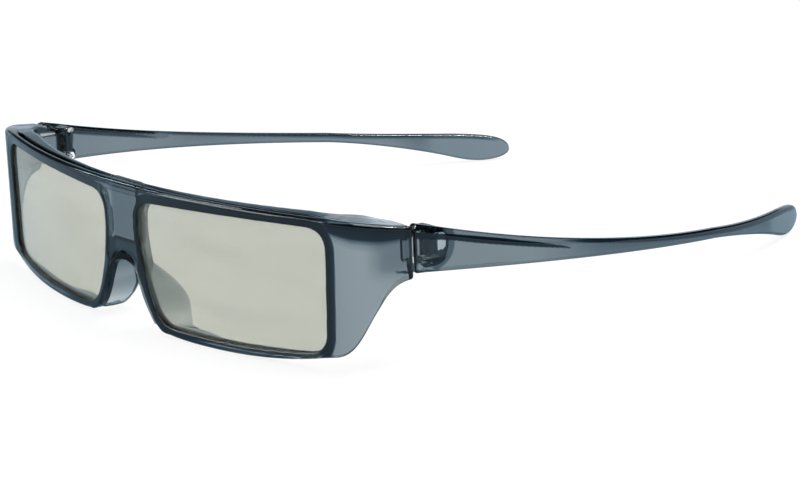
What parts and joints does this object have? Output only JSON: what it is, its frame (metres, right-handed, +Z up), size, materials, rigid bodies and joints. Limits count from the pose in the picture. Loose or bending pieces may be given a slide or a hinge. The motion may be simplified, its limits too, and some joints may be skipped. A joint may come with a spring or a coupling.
{
  "type": "3d glasses",
  "caption": "Wrap-front viewing glasses with polarising lens laminates in a smoky see-through frame, a nose saddle and folding temples on hinge pins.",
  "frame": {"origin": "middle of the footprint on the surface the open glasses rest on", "axes": "+Z up, -Y the way the wearer looks, +X to the wearer's left; temples run back along +Y"},
  "size_m": [0.1644, 0.17, 0.0348],
  "materials": {
    "smoke_plastic": "smoky blue-grey see-through plastic, polished",
    "nose_plastic": "paler see-through plastic, polished",
    "lens_film": "grey-green polarising film",
    "lens_sheet": "clear sheet with a faint grey-green tint",
    "bond_ring": "thin clear adhesive",
    "pin_steel": "drawn steel wire"
  },
  "bodies": {
    "front": {"front_frame": "smoke_plastic", "nose_pad": "nose_plastic", "left_lens_retarder": "lens_film", "right_lens_retarder": "lens_film", "left_lens_polariser": "lens_film", "right_lens_polariser": "lens_film", "left_lens_carrier": "lens_sheet", "right_lens_carrier": "lens_sheet", "left_lens_bond": "bond_ring", "right_lens_bond": "bond_ring"},
    "left_arm": {"left_temple": "smoke_plastic", "left_hinge_pin": "pin_steel"},
    "right_arm": {"right_temple": "smoke_plastic", "right_hinge_pin": "pin_steel"}
  },
  "joints": [
    {"name": "left_temple_fold", "type": "hinge", "parent": "front", "child": "left_arm", "pos_m": [0.0729, -0.0524, 0.0269], "axis": [0, 0, 1], "range_deg": [0, 86]},
    {"name": "right_temple_fold", "type": "hinge", "parent": "front", "child": "right_arm", "pos_m": [-0.0729, -0.0524, 0.0269], "axis": [0, 0, -1], "range_deg": [0, 80]}
  ]
}
